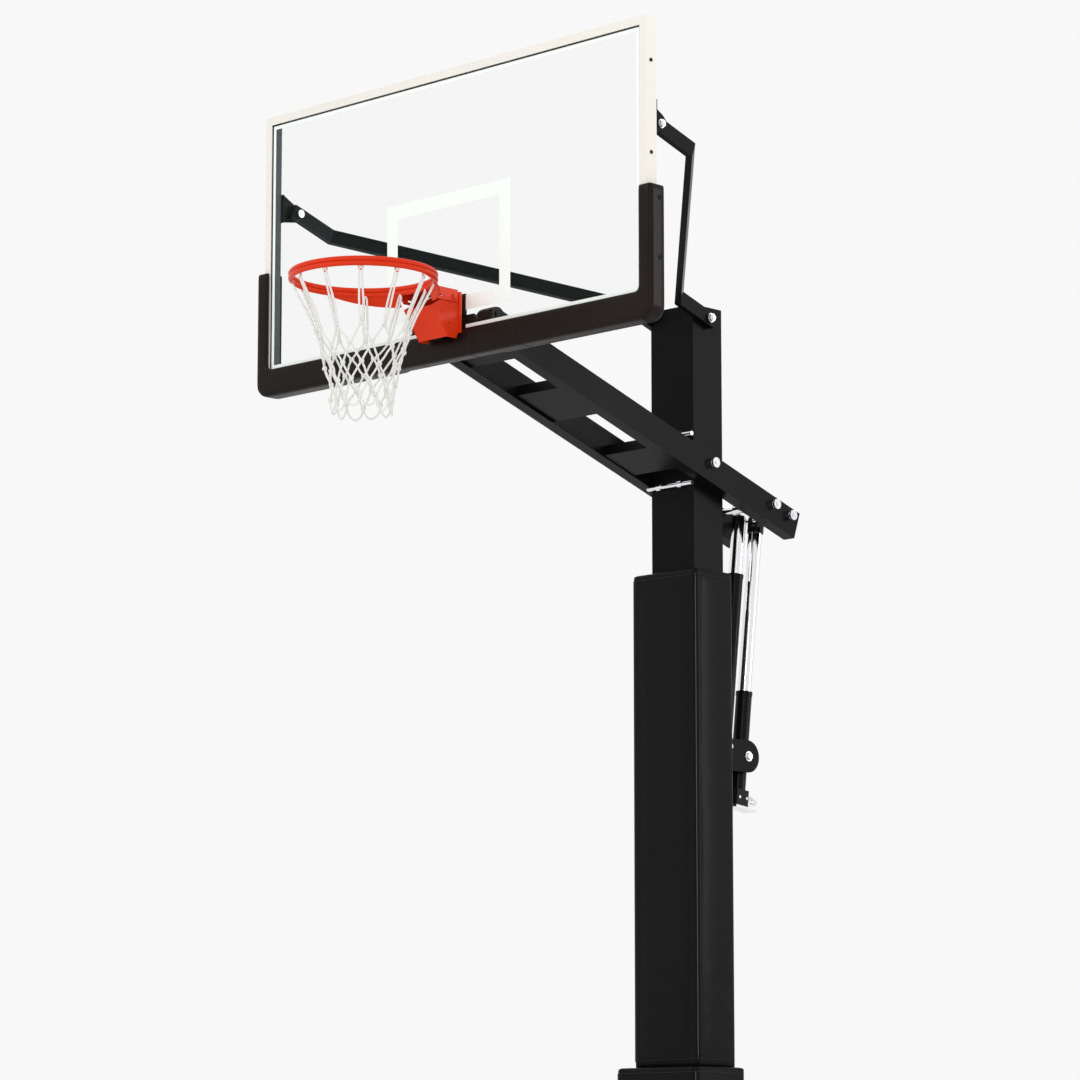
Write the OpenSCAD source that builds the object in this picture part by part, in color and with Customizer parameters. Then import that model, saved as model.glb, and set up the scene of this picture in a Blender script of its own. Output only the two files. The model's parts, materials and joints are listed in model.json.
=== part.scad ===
// Portable basketball hoop: ballasted base, post, parallel lifting arms, framed glass board and sprung rim.
// Frame: +X to the right seen from the court, -Y towards the court, +Z up.
// Origin on the floor under the post.

/* [Board] */
// Width of the board across its frame
board_width = 1829; // [1200:1:1900]
// Height of the board across its frame
board_height = 990; // [850:1:1080]
// Height of the ring's top edge above the floor
ring_height = 3048; // [2900:1:3100]
// Height of the ring's top edge above the board's lower edge
ring_above_edge = 225; // [205:1:250]
// Distance from the post's centre forward to the board's front face
board_reach = 1185; // [1000:1:1500]
// Width of the frame's front lip
frame_lip = 29; // [20:1:40]
// Depth of the frame, front to back
frame_depth = 48; // [44:1:60]
// Thickness of the frame's sheet
frame_sheet = 3; // [2:0.5:4]
// Thickness of the glass
glass_thickness = 12; // [8:1:14]
// Thickness of the gasket on each side of the glass
gasket_thickness = 2; // [1:0.5:3]
// Gap between the glass edge and the frame's side wall
glass_edge_gap = 4; // [2:0.5:8]
// How far the gasket shows past the lip
gasket_show = 3; // [1:0.5:5]
// Width of the printed border line
border_line = 12; // [8:1:20]
// Gap between the gasket and the printed border
border_gap = 3; // [2:0.5:8]
// Width of the aiming square
square_width = 590; // [500:1:640]
// Height of the aiming square
square_height = 415; // [360:1:460]
// Width of the aiming square's line
square_line = 51; // [30:1:60]
// Height of the square's lower edge above the board's lower edge
square_above_edge = 147; // [120:1:200]
// Thickness of the printed lines
print_thickness = 0.4; // [0.3:0.1:0.8]

/* [Board pad] */
// How far the moulded pad stands in front of the frame
pad_front = 14; // [10:1:20]
// How far the pad stands out at the sides
pad_side = 27; // [15:1:32]
// How far the pad hangs under the frame
pad_under = 14; // [10:1:20]
// Height of the pad's inner edge above the board's lower edge
pad_band = 84; // [60:1:100]
// Height of the pad's legs above the board's lower edge
pad_leg = 430; // [300:1:500]
// Outer corner radius of the pad
pad_corner = 52; // [35:1:70]
// Thickness of the pad's rear lip
pad_rear = 12; // [8:1:16]
// Gap between the pad and the frame
pad_gap = 0.5; // [0.3:0.1:1.5]
// Width of the notch that clears the rim's plate
pad_notch_width = 170; // [160:1:200]
// Height of the notch's floor above the board's lower edge
pad_notch_floor = 60; // [40:1:64]

/* [Arms] */
// Height of the ring's top edge above the lower arm's post pivot
ring_above_pivot = 457; // [380:1:520]
// Distance of the lower arm's post pivot in front of the post's centre
pivot_forward = 43; // [20:1:50]
// Distance between the lower arm's two pivots
arm_length = 1125; // [900:1:1450]
// Slope of the arms when the board is at its highest, degrees
arm_rise = 18.5; // [10:0.5:25]
// Height of the upper pivots above the lower ones
pivot_rise = 528; // [450:1:600]
// Distance of the upper pivots behind the lower ones
pivot_back = 30; // [10:1:50]
// Width of each lower beam
beam_width = 50; // [40:1:60]
// Depth of each lower beam
beam_depth = 98; // [80:1:110]
// Wall of each lower beam
beam_wall = 4; // [3:0.5:6]
// Gap between a lower beam and the post's side
beam_gap = 7; // [4:0.5:12]
// How far the beam's top edge lies above the line of the pivots
beam_above = 32; // [28:1:45]
// How far the beams reach behind the screw's pin
beam_tail = 50; // [45:1:70]
// Distance of the spring's pin behind the post pivot
spring_lever = 339; // [300:1:360]
// Distance of the screw's pin behind the post pivot
screw_lever = 431; // [410:1:480]
// Thickness of the plates that join the beams
cross_plate = 6; // [4:0.5:10]
// Thickness of the flat upper arms
flat_thickness = 22; // [10:0.5:26]
// Depth of the flat upper arms
flat_depth = 50; // [40:1:60]
// Gap between an upper arm and the post's side
flat_gap = 4; // [3:0.5:8]
// Sideways distance from the middle to an upper arm at the board
flat_spread = 863; // [500:1:890]
// Length of the upper arm's straight run along the post
flat_run_post = 157; // [120:1:200]
// Length of the upper arm's straight run at the board
flat_run_board = 169; // [120:1:200]

/* [Pins] */
// Radius of the main pivot pin
main_pin = 16; // [12:0.5:20]
// Radius of the pins that carry the screw, the spring and the board
small_pin = 12; // [10:0.5:14]
// Radius of the pins at the board's tabs
tab_pin = 8; // [6:0.5:10]
// Radial clearance of a pin that turns in its hole
running_gap = 0.05; // [0.02:0.01:0.1]
// Radial clearance round a tab pin
tab_pin_gap = 0.5; // [0.3:0.1:1]
// Radius of the discs on the pin ends
disc_radius = 18; // [17:0.5:24]

/* [Post] */
// Width of the post, side to side
post_width = 200; // [170:1:220]
// Depth of the post, front to back
post_depth = 150; // [130:1:170]
// Wall of the post
post_wall = 5; // [4:0.5:8]
// Height of the post above the upper arms' pivot
post_over = 40; // [34:1:80]
// Thickness of the post's cap
cap_thickness = 5; // [3:0.5:10]
// Radius of the two stop rods on the post's front
stop_rod = 8; // [6:0.5:10]

/* [Lifting screw and spring] */
// Drop of the screw's bracket pivot below the lower arm's post pivot
trunnion_drop = 996; // [891:1:1141]
// Distance of the screw's bracket pivot behind the post's centre
trunnion_back = 267; // [240:1:300]
// Radius of the bright tubes
rod_radius = 25; // [20:0.5:26]
// Radius of the black casings
casing_radius = 28.5; // [27.5:0.5:30]
// Clearance inside the casings along their length
casing_gap = 0.6; // [0.4:0.1:1]
// Length from the screw's pin down to the casing's mouth
screw_shown = 629; // [600:1:660]
// Length of the screw's casing
screw_casing_length = 355; // [345:1:420]
// Length of the bright tube that stays in the screw's casing
screw_inside = 335; // [320:1:340]
// Length from the spring's pin down to the cylinder's mouth
spring_shown = 239; // [200:1:300]
// Length of the bright tube that stays in the spring's cylinder
spring_inside = 320; // [300:1:400]
// Half gap between the bracket's two plates
bracket_half_gap = 33; // [32:0.5:38]
// Thickness of each bracket plate
bracket_plate = 8; // [6:0.5:10]
// Radius of the bracket's round end
bracket_round = 57; // [50:1:60]
// Width of the gearbox
gearbox_width = 60; // [56:1:64]
// Height of the gearbox
gearbox_height = 57; // [50:1:70]
// Radius of the crank fitting
crank_radius = 20; // [14:0.5:22]
// Length of the crank fitting
crank_length = 64; // [50:1:80]

/* [Pads on the post] */
// Thickness of the post pad
wrap_thickness = 49; // [35:1:55]
// Gap between the pads and the post
wrap_gap = 2; // [1:0.5:4]
// Height of the post pad's lower end
wrap_bottom = 500; // [450:1:560]
// Drop of the post pad's upper end below the lower arm's post pivot
wrap_drop = 374; // [291:1:691]
// How far the pads stop short of the post's rear face
wrap_short = 5; // [3:1:30]
// Side thickness of the foot pad
foot_pad_side = 87; // [70:1:100]
// Front thickness of the foot pad
foot_pad_front = 103; // [80:1:120]

/* [Rim] */
// Inside diameter of the ring
ring_inside = 457; // [450:1:460]
// Radius of each of the ring's two rods
ring_rod = 8.5; // [6:0.5:9]
// Height between the two rods' centres
ring_step = 15.5; // [11:0.5:16.5]
// Distance from the board's front face to the ring's centre
ring_forward = 381; // [375:1:400]
// Number of net loops
net_loops = 12; // [10:2:14]
// Width of the rim's mounting plate
rim_plate_width = 150; // [140:1:158]
// Thickness of the rim's sheet
rim_sheet = 4; // [3:0.5:5]
// Height of the mounting plate
rim_plate_height = 138; // [130:1:150]
// Drop of the top plate below the ring's top edge
top_plate_drop = 13; // [12:0.5:15]
// How far the rim's lower cover reaches below the mounting plate
cover_drop = 20; // [0:1:26]
// How far the lower cover's foot stands in front of the mounting plate
cover_foot = 46; // [20:1:50]
// How far the lower cover reaches forward under the ring
cover_reach = 118; // [90:1:122]
// Gap between the bracket's sides and the mounting plate's gussets
rim_side_gap = 2; // [1:0.5:4]
// Radius of the breakaway hinge pin
hinge_pin_radius = 6; // [5:0.5:8]
// Depth of the ring's brace beside the bracket
brace_depth = 35; // [24:1:38]
// How far round the ring the brace reaches on each side, degrees
brace_reach = 78; // [60:1:85]
// Length of the net
net_length = 455; // [380:1:480]
// Radius of the net at its lower end
net_low_radius = 108; // [100:1:150]
// Thickness of the net
net_thickness = 3; // [2:0.5:4]

/* [Base] */
// Width of the ballast tray
tray_width = 760; // [700:1:900]
// How far the tray reaches in front of the post's centre
tray_front = 420; // [340:1:600]
// How far the tray reaches behind the post's centre
tray_rear = 1250; // [1100:1:1500]
// Height of the tray's underside above the floor
tray_clear = 45; // [35:1:60]
// Height of the tray
tray_height = 145; // [130:1:180]
// Sheet thickness of the tray and its deck
tray_sheet = 4; // [3:0.5:6]
// Gap round each ballast block
ballast_gap = 5; // [3:0.5:10]
// Radius of the levelling feet
foot_radius = 42; // [35:1:50]
// Radius of the wheels
wheel_radius = 75; // [65:1:78]
// Width of the wheels
wheel_width = 40; // [30:1:45]
// Gap between the wheels and the floor when the feet are down
wheel_clear = 7; // [4:0.5:15]
// Radius of the wheel axles
axle_radius = 10; // [8:0.5:12]
// Gap between a wheel and the sheet beside it
wheel_side_gap = 6; // [4:0.5:10]
// Distance from a caster's pivot to its axle
caster_trail = 35; // [25:1:40]

/* [Hidden] */
$fn = 64;
pivot_y = -pivot_forward;
pivot_z = ring_height - ring_above_pivot;
trunnion_height = pivot_z - trunnion_drop;
wrap_top = pivot_z - wrap_drop;
board_y = -board_reach;
board_z = ring_height - ring_above_edge;
frame_rear_y = board_y + frame_depth;
lug_y = pivot_y - arm_length * cos(arm_rise);
lug_z = pivot_z + arm_length * sin(arm_rise);
upper_y = pivot_y + pivot_back;
upper_z = pivot_z + pivot_rise;
tab_y = lug_y + pivot_back;
tab_z = lug_z + pivot_rise;
post_top = upper_z + post_over;
beam_in = post_width / 2 + beam_gap;
beam_out = beam_in + beam_width;
beam_rear = screw_lever + beam_tail;
beam_low = beam_depth - beam_above;
flat_in = post_width / 2 + flat_gap;
flat_mid = flat_in + flat_thickness / 2;
screw_y = pivot_y + screw_lever * cos(arm_rise);
screw_z = pivot_z - screw_lever * sin(arm_rise);
spring_y = pivot_y + spring_lever * cos(arm_rise);
spring_z = pivot_z - spring_lever * sin(arm_rise);
screw_length = sqrt(pow(screw_y - trunnion_back, 2) + pow(screw_z - trunnion_height, 2));
screw_tilt = atan((screw_y - trunnion_back) / (screw_z - trunnion_height));
spring_foot_y = spring_y - screw_length * sin(screw_tilt);
spring_foot_z = spring_z - screw_length * cos(screw_tilt);
glass_y = board_y + frame_sheet + gasket_thickness;
glass_rear_y = glass_y + glass_thickness;
box_y = glass_rear_y + gasket_thickness;
ring_mid = ring_inside / 2 + ring_rod;
ring_y = board_y - ring_forward;
ring_low = ring_height - 2 * ring_rod - ring_step;
rim_plate_y = board_y - pad_front;
rim_plate_z = ring_height - 18 - rim_plate_height;
top_plate_z = ring_height - top_plate_drop - 6;
rim_pin_y = rim_plate_y - 23;
rim_pin_z = top_plate_z - 19;
gusset_out = rim_plate_width / 2 - rim_sheet - rim_side_gap;
cover_low = rim_plate_z - cover_drop;
deck_z = tray_clear + tray_height;
axle_z = wheel_radius + wheel_clear;
hub_radius = wheel_radius * 0.68;
caster_x = tray_width / 2 - 80;
caster_y = tray_rear + caster_trail + wheel_radius + wheel_side_gap + 8;

// a box given by its two corners
module span(a, b) {
    translate(a) cube([b[0] - a[0], b[1] - a[1], b[2] - a[2]]);
}

// a cylinder along X from x0 to x1
module rod_x(x0, x1, r, y = 0, z = 0) {
    translate([x0, y, z]) rotate([0, 90, 0]) cylinder(r = r, h = x1 - x0);
}

// a cylinder along Y from y0 to y1
module rod_y(y0, y1, r, x = 0, z = 0) {
    translate([x, y0, z]) rotate([-90, 0, 0]) cylinder(r = r, h = y1 - y0);
}

// both sides of the middle plane
module both() {
    children();
    mirror([1, 0, 0]) children();
}

// the lower arm's frame: origin at the post pivot, y backwards along the beams
module arm_frame() {
    translate([0, pivot_y, pivot_z]) rotate([-arm_rise, 0, 0]) children();
}

// the upper arms' frame
module upper_frame() {
    translate([0, upper_y, upper_z]) rotate([-arm_rise, 0, 0]) children();
}

// the screw's frame: origin at its top pin, z up along the screw
module screw_frame() {
    translate([0, screw_y, screw_z]) rotate([-screw_tilt, 0, 0]) children();
}

// the spring's frame
module spring_frame() {
    translate([0, spring_y, spring_z]) rotate([-screw_tilt, 0, 0]) children();
}

module base_tray() {
    x = tray_width / 2;
    color("#232325") {
        difference() {
            span([-x, -tray_front, tray_clear], [x, tray_rear, deck_z]);
            span([-x + tray_sheet, -tray_front + tray_sheet, tray_clear + tray_sheet],
                [x - tray_sheet, tray_rear - tray_sheet, deck_z + 1]);
        }
    }
}

module wheel_mounts() {
    x = tray_width / 2;
    color("#232325") {
        both() rod_x(x, x + wheel_side_gap + wheel_width + 8, axle_radius, -tray_front + 130, axle_z);
        both() rod_x(x, x + wheel_side_gap - 2, axle_radius + 8, -tray_front + 130, axle_z);
        both() difference() {
            span([caster_x - 50, tray_rear, deck_z - 12], [caster_x + 50, caster_y + 50, deck_z]);
            translate([caster_x, caster_y, deck_z - 13])
                cylinder(r = axle_radius + 2 + running_gap, h = 14);
        }
    }
}

module ballast_blocks() {
    x = tray_width / 2 - tray_sheet - ballast_gap;
    y0 = 230;
    y1 = tray_rear - tray_sheet;
    pitch = (y1 - y0) / 4;
    color("#8b8a86") for (i = [0:3])
        span([-x, y0 + i * pitch, tray_clear + tray_sheet],
            [x, y0 + (i + 1) * pitch - ballast_gap, deck_z - ballast_gap]);
}

module base_deck() {
    x = tray_width / 2;
    px = post_width / 2 + 3;
    py = post_depth / 2 + 3;
    color("#1c1c1e") difference() {
        union() {
            span([-x - tray_sheet, -tray_front - tray_sheet, deck_z],
                [x + tray_sheet, tray_rear, deck_z + tray_sheet]);
            span([-x - tray_sheet, -tray_front - tray_sheet, deck_z - 25],
                [x + tray_sheet, -tray_front, deck_z]);
        }
        span([-px, -py, deck_z - 1], [px, py, deck_z + tray_sheet + 1]);
    }
}

module post_foot() {
    z0 = tray_clear + tray_sheet;
    x = post_width / 2;
    y = post_depth / 2;
    color("#232325") {
        span([-x - 110, -y - 110, z0], [x + 110, y + 70, z0 + 12]);
        for (s = [-60, 60]) {
            translate([s - 4, 0, z0 + 12]) rotate([90, 0, 90]) linear_extrude(height = 8)
                polygon([[-y, 0], [-y - 100, 0], [-y, 110]]);
            translate([s - 4, 0, z0 + 12]) rotate([90, 0, 90]) linear_extrude(height = 8)
                polygon([[y, 0], [y + 60, 0], [y, 110]]);
        }
    }
}

module level_feet() {
    x = tray_width / 2 - 70;
    color("#2b2b2d") for (p = [[x, -tray_front + 60], [-x, -tray_front + 60],
            [x, tray_rear - 60], [-x, tray_rear - 60], [0, 0]]) translate([p[0], p[1], 0]) {
        cylinder(r1 = foot_radius, r2 = foot_radius - 4, h = 14);
        cylinder(r = 11, h = tray_clear);
    }
}

// one wheel's tyre round an axle along X, its inner side at x = 0
module tyre() {
    rotate([0, 90, 0]) rotate_extrude() polygon([[hub_radius, 1], [wheel_radius - 6, 0],
        [wheel_radius, 6], [wheel_radius, wheel_width - 6], [wheel_radius - 6, wheel_width],
        [hub_radius, wheel_width - 1]]);
}

// one wheel's hub
module hub() {
    rotate([0, 90, 0]) rotate_extrude() polygon([[axle_radius + running_gap, 0],
        [axle_radius + 12, 0], [axle_radius + 12, 8], [hub_radius - 8, 12], [hub_radius - 8, 3],
        [hub_radius, 3], [hub_radius, wheel_width - 3], [hub_radius - 8, wheel_width - 3],
        [hub_radius - 8, wheel_width - 12], [axle_radius + 12, wheel_width - 8],
        [axle_radius + 12, wheel_width], [axle_radius + running_gap, wheel_width]]);
}

module at_wheel() {
    translate([tray_width / 2 + wheel_side_gap, -tray_front + 130, axle_z]) children();
}

module at_caster() {
    translate([caster_x - wheel_width / 2, caster_y + caster_trail, axle_z]) children();
}

module wheel_tyre_right() {
    color("#202020") at_wheel() tyre();
}

module wheel_tyre_left() {
    color("#202020") mirror([1, 0, 0]) at_wheel() tyre();
}

module wheel_hub_right() {
    color("#9a9a98") at_wheel() hub();
}

module wheel_hub_left() {
    color("#9a9a98") mirror([1, 0, 0]) at_wheel() hub();
}

module caster_tyre_right() {
    color("#202020") at_caster() tyre();
}

module caster_tyre_left() {
    color("#202020") mirror([1, 0, 0]) at_caster() tyre();
}

module caster_hub_right() {
    color("#9a9a98") at_caster() hub();
}

module caster_hub_left() {
    color("#9a9a98") mirror([1, 0, 0]) at_caster() hub();
}

module fork() {
    x = caster_x;
    y = caster_y;
    top = deck_z - 12 - 1;
    side = wheel_width / 2 + 3;
    translate([x, y, top - 8]) cylinder(r = 38, h = 8);
    translate([x, y, top - 1]) cylinder(r = axle_radius + 2, h = 15);
    translate([x, y, deck_z + 1]) cylinder(r = axle_radius + 8, h = 5);
    for (s = [-1, 1]) translate([x + s * (side + 2.5) - 2.5, 0, 0]) rotate([90, 0, 90])
        linear_extrude(height = 5) polygon([[y - 20, top - 4], [y + 24, top - 4],
            [y + caster_trail + 18, axle_z - 6], [y + caster_trail + 10, axle_z - 18],
            [y + caster_trail - 12, axle_z - 18], [y + caster_trail - 20, axle_z]]);
    rod_x(x - side - 9, x + side + 9, axle_radius, y + caster_trail, axle_z);
}

module caster_fork_right() {
    color("#8d8f92") fork();
}

module caster_fork_left() {
    color("#8d8f92") mirror([1, 0, 0]) fork();
}

module post() {
    x = post_width / 2;
    y = post_depth / 2;
    z0 = tray_clear + tray_sheet + 12;
    color("#1e1e20") difference() {
        union() {
            difference() {
                span([-x, -y, z0], [x, y, post_top]);
                span([-x + post_wall, -y + post_wall, z0 - 1],
                    [x - post_wall, y - post_wall, post_top + 1]);
            }
            rod_x(-x + 1, x - 1, main_pin + 9, pivot_y, pivot_z);
            rod_x(-x + 1, x - 1, small_pin + 8, upper_y, upper_z);
        }
        rod_x(-x - 1, x + 1, main_pin + running_gap, pivot_y, pivot_z);
        rod_x(-x - 1, x + 1, small_pin + running_gap, upper_y, upper_z);
    }
}

module post_cap() {
    x = post_width / 2;
    y = post_depth / 2;
    color("#1e1e20") {
        span([-x, -y, post_top], [x, y, post_top + cap_thickness]);
        span([-x + post_wall + 1, -y + post_wall + 1, post_top - 6],
            [x - post_wall - 1, y - post_wall - 1, post_top]);
    }
}

// a pad wrapped round the post's front and sides
module wrap(side, front, z0, z1, r) {
    x = post_width / 2 + wrap_gap;
    y = -post_depth / 2 - wrap_gap;
    back = post_depth / 2 - wrap_short;
    difference() {
        translate([0, 0, z0]) linear_extrude(height = z1 - z0) union() {
            translate([-x - side + r, y - front]) square([2 * (x + side - r), back - y + front]);
            translate([-x - side, y - front + r]) square([2 * (x + side), back - y + front - r]);
            for (s = [-1, 1]) translate([s * (x + side - r), y - front + r]) circle(r = r);
        }
        span([-x, y, z0 - 1], [x, back + 1, z1 + 1]);
    }
}

module post_pad() {
    color("#1b1b1c") wrap(wrap_thickness, wrap_thickness, wrap_bottom, wrap_top, 14);
}

module foot_pad() {
    color("#1b1b1c") wrap(foot_pad_side, foot_pad_front, deck_z + tray_sheet, wrap_bottom - 1, 24);
}

module stop_rods() {
    y = -post_depth / 2 - stop_rod - 5.5;
    half = beam_in - 2;
    color("#b9bcc0") for (z = [pivot_z - 67, pivot_z + 108]) {
        rod_x(-half, half, stop_rod, y, z);
        for (s = [-50, 50]) {
            rod_x(s - 9, s + 9, stop_rod + 5, y, z);
            span([s - 7, y, z - 7], [s + 7, -post_depth / 2, z + 7]);
        }
    }
}

module screw_bracket() {
    y0 = post_depth / 2;
    color("#1e1e20") for (s = [-1, 1]) difference() {
        union() {
            span([s > 0 ? bracket_half_gap : -bracket_half_gap - bracket_plate, y0,
                trunnion_height - bracket_round],
                [s > 0 ? bracket_half_gap + bracket_plate : -bracket_half_gap, trunnion_back,
                trunnion_height + bracket_round]);
            rod_x(s > 0 ? bracket_half_gap : -bracket_half_gap - bracket_plate,
                s > 0 ? bracket_half_gap + bracket_plate : -bracket_half_gap,
                bracket_round, trunnion_back, trunnion_height);
        }
        rod_x(-60, 60, small_pin, trunnion_back, trunnion_height);
        rod_x(-60, 60, tab_pin, spring_foot_y, spring_foot_z);
    }
}

module bracket_bolts() {
    x = bracket_half_gap;
    color("#a9acb0") both() {
        rod_x(x, x + bracket_plate, small_pin, trunnion_back, trunnion_height);
        rod_x(x + bracket_plate, x + bracket_plate + 4, small_pin + 6, trunnion_back, trunnion_height);
        hex_x(x + bracket_plate + 4, x + bracket_plate + 11, small_pin + 1, trunnion_back,
            trunnion_height);
        rod_x(x, x + bracket_plate, tab_pin, spring_foot_y, spring_foot_z);
    }
}

// one lower beam on the +X side, in the arm's frame
module beam() {
    bore = [[0, main_pin], [spring_lever, small_pin], [screw_lever, small_pin],
        [-arm_length, small_pin]];
    x1 = beam_in + beam_width;
    nose = beam_above;
    difference() {
        union() {
            difference() {
                translate([beam_in, 0, 0]) rotate([90, 0, 90]) linear_extrude(height = beam_width)
                    union() {
                        polygon([[-arm_length, beam_above], [beam_rear, beam_above],
                            [beam_rear, -beam_low], [-arm_length + 75, -beam_low],
                            [-arm_length - nose * 0.7, -nose * 0.7]]);
                        translate([-arm_length, 0]) circle(r = nose);
                    }
                span([beam_in + beam_wall, -arm_length + 80, -beam_low + beam_wall],
                    [x1 - beam_wall, beam_rear - 5, beam_above - beam_wall]);
            }
            for (b = [0:2]) rod_x(beam_in + 1, x1 - 1, bore[b][1] + 8, bore[b][0], 0);
        }
        for (b = bore) rod_x(beam_in - 1, x1 + 1, b[1], b[0], 0);
    }
}

module beam_right() {
    color("#1e1e20") arm_frame() beam();
}

module beam_left() {
    color("#1e1e20") arm_frame() mirror([1, 0, 0]) beam();
}

// a plate between the beams, along the arm from y0 to y1, with its face at height z
module cross(y0, y1, z) {
    span([-beam_in, y0, z], [beam_in, y1, z + cross_plate]);
    span([-beam_in, y0, z], [beam_in, y0 + cross_plate, z + 40]);
    span([-beam_in, y1 - cross_plate, z], [beam_in, y1, z + 40]);
}

module cross_front() {
    color("#1e1e20") arm_frame() cross(-arm_length + 60, -arm_length + 180, -beam_low + 8);
}

module cross_middle() {
    color("#1e1e20") arm_frame() cross(-725, -525, -beam_low + 8);
}

module cross_rear() {
    color("#1e1e20") arm_frame() cross(-265, -105, -beam_low + 4);
}

// a bright pin across both beams with a sleeve and a disc at each end
module end_discs(x) {
    both() {
        rod_x(x, x + 13, disc_radius - 1);
        rod_x(x + 13, x + 17, disc_radius - 6);
        rod_x(x + 17, x + 23, disc_radius);
        hex_x(x + 23, x + 27, disc_radius * 0.45);
    }
}

// a six-sided bar along X, its middle at y, z
module hex_x(x0, x1, r, y = 0, z = 0) {
    translate([x0, y, z]) rotate([0, 90, 0]) cylinder(r = r, h = x1 - x0, $fn = 6);
}

// a washer, a nut and the end of its bolt, outward from x0
module nut_end(x0, bolt, y = 0, z = 0) {
    rod_x(x0, x0 + 2.5, bolt * 1.85, y, z);
    hex_x(x0 + 2.5, x0 + 2.5 + bolt * 0.9, bolt * 1.65, y, z);
    rod_x(x0 + 2.5 + bolt * 0.9, x0 + 6 + bolt * 0.9, bolt * 0.9, y, z);
}

module pivot_pin() {
    color("#b9bcc0") arm_frame() {
        rod_x(-beam_out, beam_out, main_pin);
        end_discs(beam_out);
        both() rod_x(post_width / 2 + 1, beam_in, main_pin + 8);
    }
}

module spring_pin() {
    color("#b9bcc0") arm_frame() translate([0, spring_lever, 0]) {
        rod_x(-beam_out, beam_out, small_pin);
        end_discs(beam_out);
    }
}

module screw_pin() {
    color("#b9bcc0") arm_frame() translate([0, screw_lever, 0]) {
        rod_x(-beam_out, beam_out, small_pin);
        end_discs(beam_out);
    }
}

module board_pin() {
    x = beam_out + 12;
    color("#a9acb0") arm_frame() translate([0, -arm_length, 0]) {
        rod_x(-x, x, small_pin);
        both() rod_x(x, x + 9, small_pin + 6);
    }
}

// one flat upper arm on the +X side, in the upper frame
module flat_arm() {
    t = flat_thickness / 2;
    y1 = -flat_run_post;
    y2 = -arm_length + flat_run_board;
    bend = atan((flat_spread - flat_mid) / (y1 - y2));
    k = t * tan(bend / 2);
    tail = 30;
    tip = arm_length + 26;
    difference() {
        translate([0, 0, -flat_depth / 2]) linear_extrude(height = flat_depth) polygon([
            [flat_mid - t, tail], [flat_mid - t, y1 - k], [flat_spread - t, y2 - k],
            [flat_spread - t, -tip], [flat_spread + t, -tip], [flat_spread + t, y2 + k],
            [flat_mid + t, y1 + k], [flat_mid + t, tail]]);
        rod_x(flat_mid - t - 1, flat_mid + t + 1, small_pin);
        rod_x(flat_spread - t - 1, flat_spread + t + 1, tab_pin + tab_pin_gap, -arm_length);
    }
}

module upper_arm_right() {
    color("#1e1e20") upper_frame() flat_arm();
}

module upper_arm_left() {
    color("#1e1e20") upper_frame() mirror([1, 0, 0]) flat_arm();
}

module upper_pin() {
    x = flat_in + flat_thickness;
    color("#a9acb0") upper_frame() {
        rod_x(-x, x, small_pin);
        both() rod_x(x, x + 5, small_pin - 1);
        both() nut_end(x + 5, small_pin - 3);
        both() rod_x(post_width / 2 + 0.6, flat_in, small_pin + 6);
    }
}

// a ring of material round the board between two insets, from y0 to y1
module board_ring(outer, inner, y0, y1) {
    x = board_width / 2;
    difference() {
        span([-x + outer, y0, board_z + outer], [x - outer, y1, board_z + board_height - outer]);
        span([-x + inner, y0 - 1, board_z + inner], [x - inner, y1 + 1, board_z + board_height - inner]);
    }
}

module board_frame() {
    color("#fdfaf1") {
        board_ring(0, frame_lip, board_y, board_y + frame_sheet);
        board_ring(0, frame_sheet, board_y + frame_sheet, box_y);
        difference() {
            board_ring(0, frame_lip, box_y, frame_rear_y);
            board_ring(frame_sheet, frame_lip - frame_sheet, box_y + frame_sheet,
                frame_rear_y - frame_sheet);
        }
    }
}

module glass_gasket() {
    inset = frame_sheet + glass_edge_gap;
    color("#151515") {
        board_ring(inset, frame_lip + gasket_show, board_y + frame_sheet, glass_y);
        board_ring(inset, frame_lip - 1, glass_rear_y, box_y);
    }
}

module glass() {
    inset = frame_sheet + glass_edge_gap;
    x = board_width / 2 - inset;
    color("#cfe0da", 0.35) difference() {
        span([-x, glass_y, board_z + inset], [x, glass_rear_y, board_z + board_height - inset]);
        for (sx = [-1, 1]) for (z = [rim_plate_z + 32, rim_plate_z + rim_plate_height - 30])
            rod_y(glass_y - 1, glass_rear_y + 1, 15, sx * 42, z);
    }
}

module board_print() {
    inset = frame_lip + gasket_show + border_gap;
    x = board_width / 2 - inset;
    zt = board_z + board_height - inset;
    zb = board_z + pad_band + 1;
    s = square_width / 2;
    z0 = board_z + square_above_edge;
    z1 = z0 + square_height;
    y0 = glass_y - print_thickness;
    color("#eef5ee") {
        difference() {
            span([-x, y0, zb], [x, glass_y, zt]);
            span([-x + border_line, y0 - 1, zb + border_line], [x - border_line, glass_y + 1,
                zt - border_line]);
            span([-rim_plate_width / 2 - 12, y0 - 1, zb - 1], [rim_plate_width / 2 + 12, glass_y + 1,
                zb + border_line + 1]);
        }
        difference() {
            span([-s, y0, z0], [s, glass_y, z1]);
            span([-s + square_line, y0 - 1, z0 + square_line], [s - square_line, glass_y + 1,
                z1 - square_line]);
            span([-rim_plate_width / 2 - 12, y0 - 1, z0 - 1], [rim_plate_width / 2 + 12, glass_y + 1,
                rim_plate_z + rim_plate_height + 12]);
        }
    }
}

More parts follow.
